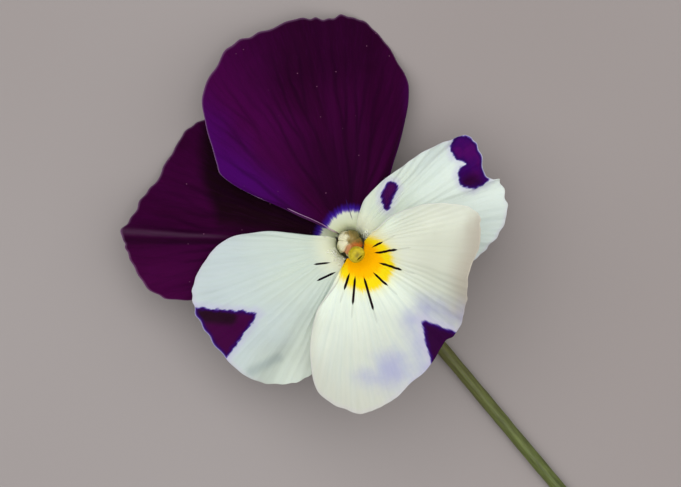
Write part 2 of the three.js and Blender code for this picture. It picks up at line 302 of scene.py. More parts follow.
def stem_path():
    """Straight down out of the dome, a quarter circle, then along the table, swaying aside."""
    lie = STEM_RADIUS - FACE_HEIGHT
    down = np.linspace(DOME_TOP, lie + CROOK, 26)[:-1, None] * [0, 0, 1]
    bend = np.linspace(0, np.pi / 2, 24)[:, None]
    bend = np.hstack([CROOK * (1 - np.cos(bend)), 0 * bend, lie + CROOK * (1 - np.sin(bend))])
    along = smooth(STEM_SWAY, np.linspace(0, 1, 260)[1:])
    along = np.hstack([along, np.full((len(along), 1), lie)])
    return np.vstack([down, bend, along])


def stem_shells():
    """The stem's tube. Its radius is the dome's at the top, rounded over at the edge, falls to the
    stem's as a smooth step, and swells a little where the two scales sit. The cut is five rings that
    close in on a slightly hollow face; there part is 1."""
    path = stem_path()
    length = np.append(0, np.cumsum(np.linalg.norm(np.diff(path, axis=0), axis=1)))
    radius = DOME_RADIUS + (STEM_RADIUS - DOME_RADIUS) * rise(length, 0.85, 1.9)
    radius *= 0.78 + 0.22 * np.sqrt(1 - (1 - np.clip(length / 0.3, 0, 1)) ** 2)
    radius *= 1 + 0.015 * np.sin(0.9 * length) + 0.012 * np.sin(2.3 * length + 1)
    for node_at in BRACTEOLES_AT:
        radius *= 1 + 0.07 * np.exp(-((path[:, 0] - node_at) / 0.5) ** 2)
    around = 40
    points, _, _, lay = sweep(path, radius, around, ridge=STEM_RIDGE)
    rim = points[-2 - around:-2] - path[-1]
    shares = np.array([0.985, 0.93, 0.8, 0.5, 0.2])[:, None]
    depths = np.array([0.015, 0.015, -0.02, -0.06, -0.07])[:, None, None]
    cut = path[-1] + rim * shares[..., None] + depths * unit(path[-1] - path[-2])
    cut_lay = stacked(lay[:around, 0], shares, 1.0)
    rings = np.vstack([points[:-2], cut.reshape(-1, 3)]).reshape(-1, around, 3)
    lay = np.vstack([lay[:-2], cut_lay.reshape(-1, 3)]).reshape(-1, around, 3)
    return [tube(rings, lay)]


def stem_finish():
    """Olive green with pale and dark streaks along it, brown towards the flower, and a wet pale pith
    in the cut."""
    made, start = material("stem skin")
    turn, length, part = start.lay().parts()
    place = start.place()
    streak = (turn * 26.0).joined(length * 0.35).noise(1.0, 3.0)
    mottle = place.noise(0.8, 3.0)
    pith = painted(tone(96, 112, 54), (length.rise(0.85, 0.6), (186, 196, 140)))
    colour = painted(
        tone(68, 78, 31),
        (streak.rise(0.3, 0.75), (104, 116, 55)),
        (mottle.rise(0.45, 0.8) * 0.5, (70, 74, 32)),
        (place.parts()[0].rise(30, 8) * 0.45, (92, 78, 40)),
        (part.rise(0.4, 0.6), pith))
    fine = (turn * 90.0).joined(length * 1.6).noise(1.0, 2.0)
    start.finish({"Base Color": colour, "Roughness": 0.38 + streak * 0.25,
                  "Normal": (fine + streak * 0.6).bump(0.03), "Specular IOR Level": 0.45,
                  **flesh(0.12, (0.6, 1.0, 0.3), 0.6)})
    return made


stem_green = stem_finish()
piece("stem", stem_shells(), stem_green, "stem_green", "stem")

# ------------------------------------------------------------------------------------------------
# Sepals
# Five narrow green blades under the petals, each with a keel, a thin pale margin, a sharp tip and a
# blunt flap behind its foot. They sit on the dome's side.
# ------------------------------------------------------------------------------------------------
SEPAL_LENGTH = 8.6
SEPAL_WIDTH = 2.1
SEPAL_THICKNESS = 0.24
SEPAL_FOOT = 1.57                # from the stem's axis to where a sepal is joined
SEPAL_DEPTH = 4.55
AURICLE = 1.15                   # the flap behind the foot


def edge_distance(points):
    """How far each point of a grid is from the grid's nearest side, measured along its lines."""
    across = np.linalg.norm(np.diff(points, axis=1), axis=2)
    along = np.linalg.norm(np.diff(points, axis=0), axis=2)
    left = np.pad(np.cumsum(across, 1), ((0, 0), (1, 0)))
    below = np.pad(np.cumsum(along, 0), ((1, 0), (0, 0)))
    sides = [left, left[:, -1:] - left, below, below[-1:] - below]
    return np.minimum.reduce(sides)


def sheet(middle, thickness, lay, relief=0.0):
    """Closed thin sheet about a grid of points. Its two faces stand off by half the thickness along
    the grid's normal, as a half round at the edge, where they share their points. relief moves both
    along the normal. lay is given its third number: 1 on the front, -1 on the back, 0 at the edge."""
    normal = unit(np.cross(np.gradient(middle, axis=1), np.gradient(middle, axis=0)))
    middle = middle + normal * np.expand_dims(relief, -1)
    near = np.clip(edge_distance(middle) / (0.7 * thickness), 0, 1)
    half = thickness / 2 * np.sqrt(1 - (1 - near) ** 2)
    rows, columns = middle.shape[:2]
    front = np.arange(rows * columns).reshape(rows, columns)
    back = front.copy()
    back[1:-1, 1:-1] = rows * columns + np.arange((rows - 2) * (columns - 2)).reshape(
        rows - 2, columns - 2)
    inside = (slice(1, -1), slice(1, -1))
    offset = normal * half[..., None]
    points = np.vstack([(middle + offset).reshape(-1, 3), (middle - offset)[inside].reshape(-1, 3)])
    lay = stacked(*lay, np.sign(near))
    lay = np.vstack([lay.reshape(-1, 3), (lay * [1, 1, -1])[inside].reshape(-1, 3)])
    faces = np.vstack([quads(front), quads(back[:, ::-1])])
    return points, faces, np.empty((0, 3), int), lay


def turned_round(points, degrees):
    """Points turned round the throat's axis."""
    turn = np.radians(degrees)
    x, y, z = np.moveaxis(points, -1, 0)
    return stacked(x * np.cos(turn) - y * np.sin(turn), x * np.sin(turn) + y * np.cos(turn), z)


def blade(midline, width, keel, tip, rows=90, columns=26):
    """Narrow leaf on a midline in the XZ plane. Half its width is a sine of the share of the way to
    the power 1.3, drawn in to a point at the tip; the section is a shallow V with raised margins."""
    along = np.linspace(0, 1, rows)[:, None]
    across = np.linspace(1, -1, columns)[None]
    middle = smooth(midline, along[:, 0])[:, None]
    swell = np.sin(np.pi * (0.05 + 0.93 * along ** 1.3))
    half = width / 2 * (0.12 + 0.88 * swell) * (1 - tip * rise(along, 0.86, 1.0))
    flat = stacked(0.0, across * half, -keel * (1 - np.abs(across)) ** 1.5 + 0.08 * across ** 4)
    return middle + flat, across * 0.5 + 0.5, along


def sepal_shells(degrees, lift):
    """A sepal: the blade on a midline that goes up by lift, with three low ribs, each a bell curve
    across it, and thinner towards its margins, turned round the throat's axis."""
    foot, depth = SEPAL_FOOT, -SEPAL_DEPTH
    midline = [[foot + 0.55 * AURICLE, 0, depth - 0.8 * AURICLE], [foot, 0, depth],
               [foot + 0.25 * SEPAL_LENGTH, 0, depth + 0.45 * lift],
               [foot + 0.6 * SEPAL_LENGTH, 0, depth + lift],
               [foot + SEPAL_LENGTH, 0, depth + 0.9 * lift]]
    middle, across, along = blade(midline, SEPAL_WIDTH, 0.3, 0.9)
    ribs = sum(np.exp(-((across - spot) / 0.045) ** 2) for spot in (0.22, 0.5, 0.78))
    thickness = SEPAL_THICKNESS - 0.1 * rise(np.abs(across - 0.5), 0.3, 0.5) + 0 * along
    points, faces, ends, lay = sheet(middle, thickness, (across, along), -0.05 * ribs)
    return [(turned_round(points, degrees), faces, ends, lay)]


def sepal_finish():
    """Leaf green, mottled and finely streaked, with a paler keel, a pale margin and a brown tip."""
    made, start = material("sepal skin")
    across, along = start.lay().parts()[:2]
    off = abs(across - 0.5)
    grain = (across * 30.0).joined(along * 6.0).noise(1.0, 3.0)
    mottle = start.place().noise(1.1, 3.0)
    colour = painted(
        tone(78, 100, 44),
        (grain.rise(0.3, 0.7), (104, 128, 60)),
        (mottle.rise(0.5, 0.75) * 0.5, (66, 84, 42)),
        (off.rise(0.06, 0.01) * 0.7, (142, 158, 92)),
        (off.rise(0.38, 0.5) * 0.75, (170, 182, 132)),
        (along.rise(0.9, 1.0) * 0.6, (118, 104, 74)))
    start.finish({"Base Color": colour, "Roughness": 0.5 + grain * 0.15,
                  "Normal": (grain + mottle * 0.5).bump(0.03), "Specular IOR Level": 0.4,
                  **flesh(0.15, (0.6, 1.0, 0.3), 0.5)})
    return made


sepal_green = sepal_finish()
for name, degrees, lift in [("sepal_top", 180, 0.2), ("sepal_upper_left", 247, 0.8),
                            ("sepal_upper_right", 113, 0.1), ("sepal_lower_left", 312, 1.2),
                            ("sepal_lower_right", 48, 1.2)]:
    piece(name, sepal_shells(degrees, lift), sepal_green, "sepal_green", name)

# ------------------------------------------------------------------------------------------------
# Bracteoles
# Two tiny pointed scales, one on each side of the stem, with their tips towards the flower. Each
# grows straight out of the stem's skin.
# ------------------------------------------------------------------------------------------------
SCALE_LENGTH = 2.4
SCALE_WIDTH = 0.75
SCALE_THICKNESS = 0.15


def scale_shells(along_stem, side):
    """A scale: the blade, stood on its edge beside the stem and turned to point at the flower."""
    midline = [[0, 0, -0.14], [0.4 * SCALE_LENGTH, 0, 0.0], [SCALE_LENGTH, 0, 0.45]]
    middle, across, along = blade(midline, SCALE_WIDTH, 0.08, 0.9, 46, 14)
    points, faces, ends, lay = sheet(middle, SCALE_THICKNESS + 0 * along * across, (across, along))
    near, far = np.array(STEM_SWAY[1]), np.array(STEM_SWAY[-1])
    aside = near[1] + (far[1] - near[1]) * (along_stem - near[0]) / (far[0] - near[0])
    out = STEM_RADIUS * (1 + STEM_RIDGE) + 0.16
    placed = stacked(along_stem - points[:, 0], aside + side * (out + points[:, 2]),
                     STEM_RADIUS - FACE_HEIGHT + side * points[:, 1])
    return [(placed, faces, ends, lay)]


for name, along_stem, side in zip(("bracteole_left", "bracteole_right"), BRACTEOLES_AT, (-1, 1)):
    piece(name, scale_shells(along_stem, side), sepal_green, "sepal_green", name)

# ------------------------------------------------------------------------------------------------
# Upper petals
# Two large round petals of deep purple velvet, thin as paper, with forking darker veins and a
# white heart edged in violet. The right one overlaps the left one, which is bent back on a fold.
# ------------------------------------------------------------------------------------------------
THROAT_RADIUS = 1.5              # where the blades' feet stand
THROAT_DEPTH = 8.0
THROAT_FLARE = 1.25
LAYER_STEP = 0.5
FALL = 0.06 - FACE_HEIGHT        # height of a rim that rests on the table
CLAW_RADIUS = 1.3                # the petals are joined to the dome's shoulder
CLAW_HEIGHT = -4.35
CLAW_HALF = 12                   # degrees to each side of its middle
THROAT_THICKNESS = 0.22
RIM_THICKNESS = 0.1
UPPER_RIGHT = {
    "turn": 150, "foot": (183, 113), "reach": 20.8, "rise": FALL, "layer": 2, "dip": 1,
    "bend": 2, "arch": 0.5, "ruffle": 0.25, "waves": 2.5, "phase": 0.1,
    "outline": [
        [41, 0.13, 0.04], [49, 0.60, 0.10], [42, 0.75, 0.16], [30.5, 0.96, 0.33],
        [17.5, 1.06, 0.55], [8.5, 1.06, 0.67], [-1, 1.07, 0.76], [-7, 1.05, 0.83],
        [-13, 1.06, 0.90], [-20, 1.02, 0.98], [-28, 0.88, 0.95], [-37, 0.70, 0.76],
        [-44, 0.37, 0.32], [-44, 0.20, 0.14]]}
UPPER_LEFT = {
    "turn": 216, "foot": (186, 199), "reach": 21.0, "rise": FALL, "layer": 3.3, "dip": 1,
    "bend": 2, "arch": 0.2, "ruffle": 0.2, "waves": 2, "phase": 0.35,
    "outline": [
        [-41.5, 0.54, 0.55], [-40.5, 0.77, 0.84], [-31, 0.885, 0.97], [-21.5, 0.92, 0.97],
        [-10, 0.93, 0.84], [-0.5, 0.98, 0.64], [7.5, 1.03, 0.40], [12, 1.01, 0.34],
        [20, 0.96, 0.30], [26.5, 0.87, 0.29], [31, 0.68, 0.28], [30, 0.48, 0.22]]}


def polar(degrees, distance, height=0.0):
    """Points at an angle round the throat's axis, a distance from it and a height."""
    turn = np.radians(degrees)
    return stacked(distance * np.cos(turn), distance * np.sin(turn), height)


def funnel(distance):
    """Depth of the throat's funnel: it falls off by e for every flare's length outwards."""
    return THROAT_DEPTH * np.exp(-distance / THROAT_FLARE)


def petal_middle(petal, across, along):
    """Middle surface of a petal's blade, by across and along, both 0 to 1. It is a fan of straight
    lines from a short arc at the throat to the rim, a smooth curve through the outline's points
    (degrees from the midline, share of the reach, share of the rise). The height grows with the way
    to the power of the bend, and ruffle, arch and the throat's funnel are added to it."""
    first, last = petal["foot"]
    foot = polar(first + (last - first) * across, THROAT_RADIUS)
    outline = np.array(petal["outline"])
    rim = polar(petal["turn"] + outline[:, 0], petal["reach"] * outline[:, 1],
                petal["rise"] * outline[:, 2])
    edge = smooth(rim, across)
    place = foot + (edge - foot) * along[..., None]
    ruffle = petal["ruffle"] * np.sin(2 * np.pi * (petal["waves"] * across + petal["phase"]))
    reach = np.hypot(edge[..., 0], edge[..., 1]) / petal["reach"]
    place[..., 2] = (edge[..., 2] * along ** petal["bend"] + ruffle * along ** 3
                     - petal["layer"] * LAYER_STEP * (1 - along)
                     + petal["arch"] * np.sin(np.pi * along) * reach
                     - petal["dip"] * funnel(np.hypot(place[..., 0], place[..., 1])))
    return place


def waves(value, seed, count, low, high):
    """Irregular ripple between -1 and 1: sines of seeded pitch between low and high cycles for
    every 1 of the value, with seeded phases."""
    draw = np.random.default_rng(seed)
    pitch, phase = draw.uniform(low, high, count), draw.uniform(0, 2 * np.pi, count)
    return sum(np.sin(2 * np.pi * f * value + p) for f, p in zip(pitch, phase)) / count ** 0.5


def petal_shell(petal, seed, shape, wrinkle=0.03, frill=0.12, columns=236, rows=96, claw_rows=12):
    """A petal as a closed sheet, thinner from the throat to the rim: a narrow claw that rises from
    the dome, then the blade. The blade has fine wrinkles that fan out from the
    throat, a frill and small scallops at the rim, and the folds that shape() gives."""
    across = np.linspace(0, 1, columns)[None]
    if petal["foot"][0] < petal["foot"][1]:
        across = across[:, ::-1]
    along = 1 - (1 - np.linspace(0, 1, rows)[:, None]) ** 1.35
    across, along = np.broadcast_arrays(across, along)
    notched = along + 0.005 * along ** 8 * waves(across, seed + 4, 6, 7, 28)
    middle = petal_middle(petal, across, notched)
    radius = np.hypot(middle[..., 0], middle[..., 1])
    turn = np.degrees(np.arctan2(middle[..., 1], middle[..., 0])) - petal["turn"]
    turn = (turn + 180) % 360 - 180
    open_blade = rise(radius, 2.0, 6.0)
    relief = wrinkle * open_blade * waves(turn + 0.25 * waves(radius, seed, 3, 0.1, 0.3), seed + 1,
                                          9, 0.1, 0.33)
    relief += frill * rise(along, 0.55, 1.0) * waves(across, seed + 2, 5, 4, 11)
    relief += 0.08 * open_blade * waves(radius + 0.05 * turn, seed + 3, 4, 0.08, 0.25)
    relief += shape(turn, radius, along)

    start, end = petal["foot"]
    half = np.sign(end - start) * min(abs(end - start) / 2, CLAW_HALF)
    share = np.linspace(0, 1, claw_rows)[:-1, None]
    narrow = (start + end) / 2 + half * (2 * across[:1] - 1)
    wide = start + (end - start) * across[:1]
    claw = polar(narrow + (wide - narrow) * rise(share, 0, 1),
                 CLAW_RADIUS + (THROAT_RADIUS - CLAW_RADIUS) * share ** 2,
                 CLAW_HEIGHT + (middle[:1, :, 2] - CLAW_HEIGHT) * share)
    middle = np.vstack([claw, middle])
    relief = np.vstack([0 * claw[..., 0], relief])
    along = np.vstack([share - 1 + 0 * across[:1], along])
    across = np.vstack([across[:1].repeat(len(claw), 0), across])
    thickness = THROAT_THICKNESS + (RIM_THICKNESS - THROAT_THICKNESS) * rise(along, 0.3, 1.0)
    return sheet(middle, thickness, (across, along), relief)


def petal_lines(start, petal):
    """What a petal's colours are drawn by: its place, x and y and the distance from the throat's
    axis in millimetres, and the turn from the petal's midline in degrees."""
    place = start.place()
    x, y = place.parts()[:2]
    turn = np.radians(petal["turn"])
    ahead = x * np.cos(turn) + y * np.sin(turn)
    aside = y * np.cos(turn) - x * np.sin(turn)
    radius = (x * x + y * y) ** 0.5
    return place, x, y, radius, ahead.math("ARCTAN2", aside, ahead) * (180 / np.pi)


def veins(turn, radius, place, spacing, forks, width):
    """Forking veins, 1 on a vein and 0 between. They stand a spacing in degrees apart at the throat,
    and each parts into two around each of the forks' distances; they wander a little."""
    bent = turn + (place.noise(0.16, 1.0) - 0.5) * 7.0 + (place.noise(0.9, 1.0) - 0.5) * 0.8
    lane = bent / spacing
    home = lane.math("ROUND", lane)
    luck = home.node("ShaderNodeTexWhiteNoise", {"noise_dimensions": "1D"}, {"W": home})
    off = abs(lane - home)
    share = 0.25
    for fork in forks:
        fork_at = luck * (0.5 * fork) + fork * 0.75
        off = abs(off - (radius - fork_at).rise(0.0, 5.5) * share)
        share = share / 2
    gap = off * radius * (spacing * np.pi / 180)
    return gap.rise(width, 0.0)


def from_spot(x, y, spot, end=None):
    """Distance from a spot, or from the straight stroke between a spot and its end."""
    if end is None:
        return ((x - spot[0]) ** 2 + (y - spot[1]) ** 2) ** 0.5
    step = np.subtract(end, spot)
    share = ((x - spot[0]) * step[0] + (y - spot[1]) * step[1]) / (step @ step)
    share = share.most(0.0).least(1.0)
    return ((x - spot[0] - share * step[0]) ** 2 + (y - spot[1] - share * step[1]) ** 2) ** 0.5


def dart(x, y, start, degrees, length, width):
    """A drawn line, 1 on it, that starts as a point, keeps its width and ends bluntly: how far the
    point is along and beside the line decides it."""
    turn = np.radians(degrees)
    ahead = (x - start[0]) * np.cos(turn) + (y - start[1]) * np.sin(turn)
    beside = (y - start[1]) * np.cos(turn) - (x - start[0]) * np.sin(turn)
    half = ahead.rise(-0.35, 0.5) * ahead.rise(length + 0.15, length - 0.35) * width
    return (half - abs(beside)).rise(0.0, 0.05)


def velvet_finish(name, petal, heart, marks):
    """Deep purple velvet: a few soft dark veins that fork, faint streaks that fan out, the petal's
    own marks, specks of pollen, and a white heart with a blue-violet edge. heart is its middle and
    its radius. The back is greyer. Next to the throat the heart is painted paler, painted light
    against the shade in the funnel, and a pale pink painted highlight runs along the rim and the
    edge."""
    made, start = material(name)
    place, x, y, radius, turn = petal_lines(start, petal)
    along, side = start.lay().parts()[1:]
    bent = turn + (place.noise(0.12, 2.0) - 0.5) * 5.0
    streak = (bent * 0.13).joined(radius * 0.03).noise(1.0, 2.0, 0.5)
    fine = (bent * 1.5).joined(radius * 0.6).noise(1.0, 3.0, 0.6)
    cloud = place.noise(0.14, 3.0)
    patchy = (turn * 0.07).joined(radius * 0.07).noise(1.0, 2.0).rise(0.3, 0.6)
    lines = veins(turn, radius, place, 15.0, (4.5, 11.0), 0.34) * along.rise(1.0, 0.7) * patchy
    small = veins(turn + 5.0, radius, place.vector("ADD", (7, 3, 0)), 9.0, (8.0, 13.0), 0.16)
    tooth = ((turn * 0.12).noise(1.0, 3.0) - 0.5) * 0.7 + (fine - 0.5) * 0.5
    middle, reach = heart
    inside = reach - from_spot(x, y, middle) + tooth
    midvein = dart(x, y, (-1.4, 1.72), 154, 2.2, 0.07) * radius.rise(1.9, 2.8)
    flat, grains = {"voronoi_dimensions": "2D"}, {"Vector": place, "Scale": 0.4}
    near = place.node("ShaderNodeTexVoronoi", flat, grains, "Distance")
    picked = place.node("ShaderNodeTexVoronoi", flat, grains, "Color").parts()[0].rise(0.55, 0.95)
    ground = painted(
        tone(43, 1, 35),
        (streak.rise(0.25, 0.75), (54, 2, 48)),
        (cloud.rise(0.45, 0.7) * 0.5, (56, 2, 50)))
    colour = painted(
        marks(ground, turn, radius, along, cloud),
        (fine.rise(0.5, 0.8) * 0.10, (84, 8, 88)),
        (fine.rise(0.5, 0.2) * 0.15, (26, 1, 22)),
        (lines * radius.rise(2, 5) * 0.5, (24, 1, 22)),
        (small * radius.rise(5, 9) * 0.12, (28, 1, 26)),
        (inside.rise(-0.75, -0.05), (52, 22, 132)),
        (inside.rise(-0.2, 0.1) * 0.6, (120, 96, 184)),
        (inside.rise(0.0, 0.3), (220, 228, 206)),
        # painted light: the heart next to the throat is made paler to stand in for light that the
        # funnel's shade takes away
        (radius.rise(2.8, 1.7) * 0.8, (240, 246, 212)),
        (midvein * 0.75, (44, 26, 84)),
        (near.rise(0.026, 0.01) * picked * 0.7, (150, 96, 130)),
        (side.rise(0, -1) * 0.3, (98, 56, 104)),
        # painted highlight: a pale pink line along the rim and on the sheet's edge
        (along.rise(0.985, 1.0) * 0.4, (140, 104, 142)),
        (abs(side).rise(0.9, 0.3) * 0.8, (188, 148, 186)))
    height = place.noise(9.0, 2.0) * 0.4 - lines * 0.2 - small * 0.1 + fine * 0.2
    start.finish({"Base Color": colour, "Roughness": 0.6 + cloud * 0.2,
                  "Normal": height.bump(0.03), "Specular IOR Level": 0.02,
                  "Sheen Weight": 0.015, "Sheen Roughness": 0.4, "Sheen Tint": (0.7, 0.35, 0.8, 1),
                  **flesh(0.05, (1.0, 0.15, 0.6), 0.4)})
    return made


def upper_right_marks(colour, turn, radius, along, cloud):
    """Darker above the heart, plum at the upper left, a blue-violet painted sheen along the straight
    edge, and a violet rim on the other side."""
    dark = radius.rise(15, 4) * turn.rise(30, 14) * turn.rise(-38, -14)
    top = radius.rise(12, 18) * turn.rise(24, 8) * turn.rise(-30, -12)
    plum = (turn + (cloud - 0.5) * 24.0).rise(2, 26) * radius.rise(5, 14)
    # painted sheen: blue violet along the straight edge, where the velvet catches the light
    violet = (turn + (cloud - 0.5) * 16.0).rise(26, 44) * radius.rise(2, 12)
    rim = along.rise(0.84, 1.0) * turn.rise(-30, -36)
    return painted(colour, (dark * 0.75, (31, 2, 27)), (top * 0.6, (34, 2, 29)),
                   (plum * 0.75, (64, 3, 62)), (violet * 0.85, (64, 4, 92)), (rim * 0.55, (68, 8, 80)))


def upper_left_marks(colour, turn, radius, along, cloud):
    """A painted brown-black shadow where the other petal shades this one, plum below the fold, and
    on the fold a painted grey sheen with a painted shadow line under it."""
    spread = (cloud - 0.5) * 9.0 - turn - (radius - 12.5).most(0.0) * 5.5
    fold = turn - 6.8 + (cloud - 0.5) * 1.5
    return painted(
        colour,
        (turn.rise(8, 18) * 0.8, (62, 4, 54)),
        # painted shadow: brown-black where the other petal shades this one
        (spread.rise(-7, 4) * 0.95, (20, 4, 10)),
        # painted shadow: the dark line under the fold
        (abs(fold - 2.2).rise(1.7, 0.3) * radius.rise(9, 13) * 0.6, (28, 4, 22)),
        # painted sheen: grey along the fold's ridge
        (abs(fold).rise(1.4, 0.0) * radius.rise(9, 15) * 0.27, (86, 68, 84)))


def upper_right_folds(turn, radius, along):
    """Two shallow pleats down the blade."""
    pleats = 0.16 * np.exp(-((turn - 12) / 5) ** 2) - 0.14 * np.exp(-((turn + 14) / 5) ** 2)
    return pleats * rise(radius, 4, 12)


def upper_left_folds(turn, radius, along):
    """A sharp fold, turned back above it, and a soft pleat."""
    fold = 0.42 * np.exp(-np.abs(turn - 7) / 3.0) * rise(radius, 9, 17)
    return fold - 0.15 * np.exp(-((turn - 20) / 4) ** 2) * rise(radius, 5, 12)


piece("petal_upper_left", [petal_shell(UPPER_LEFT, 11, upper_left_folds, 0.02)],
      velvet_finish("left velvet", UPPER_LEFT, ((0, 0), 3.05), upper_left_marks), "petal_purple",
      "petal_upper_left")
piece("petal_upper_right", [petal_shell(UPPER_RIGHT, 23, upper_right_folds, 0.02)],
      velvet_finish("right velvet", UPPER_RIGHT, ((-0.5, 0.6), 2.45), upper_right_marks),
      "petal_purple", "petal_upper_right")

# ------------------------------------------------------------------------------------------------
# Side petals
# Two white petals, one on each side of the throat, with crisp purple patches at the rim, fine
# wrinkles that fan out, and a beard of soft hairs where they meet the stigma.
# ------------------------------------------------------------------------------------------------
SIDE_RISE = 1.5
BLADE_LENGTH = 15.0              # throat to rim, which turns a share of the way into millimetres
HAIR_RADIUS = 0.02
SIDE_LEFT = {
    "turn": 262, "foot": (204, 297), "reach": 15.5, "rise": SIDE_RISE, "layer": 1, "dip": 1,
    "bend": 1.5, "arch": 0.35, "ruffle": 0.2, "waves": 2.5, "phase": 0.6,
    "outline": [
        [-54, 0.15, 0.1], [-50, 0.21, 0.1], [-45, 0.50, 0.2], [-39, 0.73, 0.1],
        [-30.5, 0.875, 0], [-21, 0.99, 0], [-12.5, 1.03, -0.1], [0, 1.03, -0.5],
        [15, 1.03, -0.8], [27, 0.97, -1], [36, 0.86, -1.1], [42, 0.73, -1], [44.5, 0.58, -0.8]]}
SIDE_RIGHT = {
    "turn": 76, "foot": (114, 66), "reach": 15.0, "rise": SIDE_RISE, "layer": 0.85, "dip": 1,
    "bend": 1.5, "arch": 0.3, "ruffle": 0.2, "waves": 2.5, "phase": 0.2,
    "outline": [
        [44.5, 0.21, -0.1], [36.5, 0.38, -0.4], [27, 0.57, -0.6], [19.5, 0.80, -0.7],
        [15.5, 0.94, -0.5], [12, 1.015, -0.5], [6, 1.01, -0.5], [-3.5, 0.96, -0.3],
        [-7, 1.03, -0.7], [-15.5, 1.025, -0.9], [-23, 0.98, -0.9], [-30.5, 0.88, -0.8],
        [-38.5, 0.77, -0.7], [-42.5, 0.58, -0.5]]}


def beyond(x, y, start, end):
    """Distance to the left of the line from start to end, in millimetres."""
    step = np.subtract(end, start)
    step = step / np.hypot(*step)
    return y * step[0] - x * step[1] + (start[0] * step[1] - start[1] * step[0])


def cream_base(start, petal, wrinkle, near, far):
    """White petal skin before its patches: the colour and the height of its relief. The tone goes
    from near the throat to far from it, with pale grey-green streaks and veins that fan out, and a
    pale lilac rim. Next to the throat it is painted paler, painted light against the shade in the
    funnel."""
    place, x, y, radius, turn = petal_lines(start, petal)
    along = start.lay().parts()[1]
    streak = (turn * 0.3).joined(radius * 0.05).noise(1.0, 3.0, 0.6)
    fine = (turn * 1.0).joined(radius * 0.10).noise(1.0, 3.0, 0.6)
    cloud = place.noise(0.17, 3.0)
    lines = veins(turn, radius, place, 8.0, (3.5, 8.0), 0.2)
    colour = painted(
        tone(*near),
        ((radius + (cloud - 0.5) * 9.0).rise(3, 13), far),
        (streak.rise(0.4, 0.8) * 0.35, (184, 200, 198)),
        (lines * radius.rise(2, 5) * 0.10, (170, 186, 176)),
        # painted light: paler next to the throat to stand in for light that the funnel's shade takes
        # away
        (radius.rise(4.2, 1.7) * 0.85, (242, 247, 222)),
        (along.rise(0.96, 1.0) * 0.4, (192, 180, 202)))
    height = (place.noise(7.0, 2.0) * 0.2 + fine * (0.6 * wrinkle) + streak * (0.5 * wrinkle)
              - lines * radius.rise(3, 6) * 0.15)
    return place, x, y, radius, turn, along, fine, colour, height


def cream_shader(start, colour, height, depth=0.04):
    """Matt skin that lets some light in, with its relief's depth in millimetres."""
    start.finish({"Base Color": colour, "Roughness": 0.6, "Normal": height.bump(depth),
                  "Specular IOR Level": 0.03, "Sheen Weight": 0.005, "Sheen Roughness": 0.5,
                  **flesh(0.2, (1.0, 0.95, 0.75), 0.3)})


def inside_both(first, second):
    """Distance inside two patches at once, no more than the bend, the radius that their corner is
    rounded by: what is left of the bend after the distance to both patches' insides."""
    bend = 0.55
    return bend - ((bend - first).most(0.0) ** 2 + (bend - second).most(0.0) ** 2) ** 0.5


def ink_patch(depth, rim, fine, under, inside):
    """Purple laid over a petal's colour where depth, the distance inside the patch, and the distance
    to its rim are positive. It frays a little along the wrinkles; its edge is blue violet, with a
    pale lilac halo."""
    frayed = (depth + (fine - 0.5) * 0.35).least(rim)
    return painted(
        under,
        (frayed.rise(-0.8, -0.1) * 0.4, (178, 170, 208)),
        (frayed.rise(-0.12, 0.04), (88, 64, 152)),
        (frayed.rise(-0.02, 0.12), (43, 4, 80)),
        (frayed.rise(0.08, 0.42), inside))


def side_left_finish():
    """The wedge at the rim, nearly black at its upper corner, and two guide lines. The lower half is
    greyed with painted shade where it turns away from the light, with a painted shadow along a
    soft fold in it, and next to the lower petal it is painted lighter, painted light where that
    petal shades it."""
    made, start = material("left cream")
    place, x, y, radius, turn, along, fine, colour, height = cream_base(
        start, SIDE_LEFT, 1.0, (197, 209, 196), (188, 200, 201))
    # painted shadow along a soft fold in the lower half
    crease_shade = (0.32 - from_spot(x, y, (3.0, -12.4), (2.2, -15.1))).rise(-0.5, 0.3)
    # painted shade: the lower half greyed where it turns away from the light
    grey = (turn + (place.noise(0.3) - 0.5) * 20.0).rise(4, 30) * radius.rise(5, 12)
    colour = painted(
        colour,
        (grey * 0.8, (184, 194, 180)),
        # painted light: paler next to the lower petal, where that petal shades this one
        (turn.rise(20, 34) * radius.rise(5, 8) * 0.85, (216, 227, 214)),
        (crease_shade * 0.5, (136, 150, 152)))
    wander = (place.noise(1.4, 2.0) - 0.5) * 0.5
    upper = beyond(x, y, (-1.5, -11.0), (-5.6, -14.6))
    lower = beyond(x, y, (-0.6, -15.2), (-1.3, -11.2))
    wedge = inside_both(upper + 0.12, lower + 0.12) + wander
    black = from_spot(x, y, (-5.0, -14.8), (-2.9, -13.0)).rise(1.1, 0.3)
    inside = painted(tone(60, 3, 56), (black * 0.85, (28, 10, 20)))
    colour = ink_patch(wedge, (0.994 - along) * BLADE_LENGTH, fine, colour, inside)
    lines = dart(x, y, (-0.05, -2.6), -128, 1.55, 0.12).most(dart(x, y, (0.96, -2.85), -109, 1.95, 0.13))
    cream_shader(start, painted(colour, (lines, (16, 6, 18))), height)
    return made


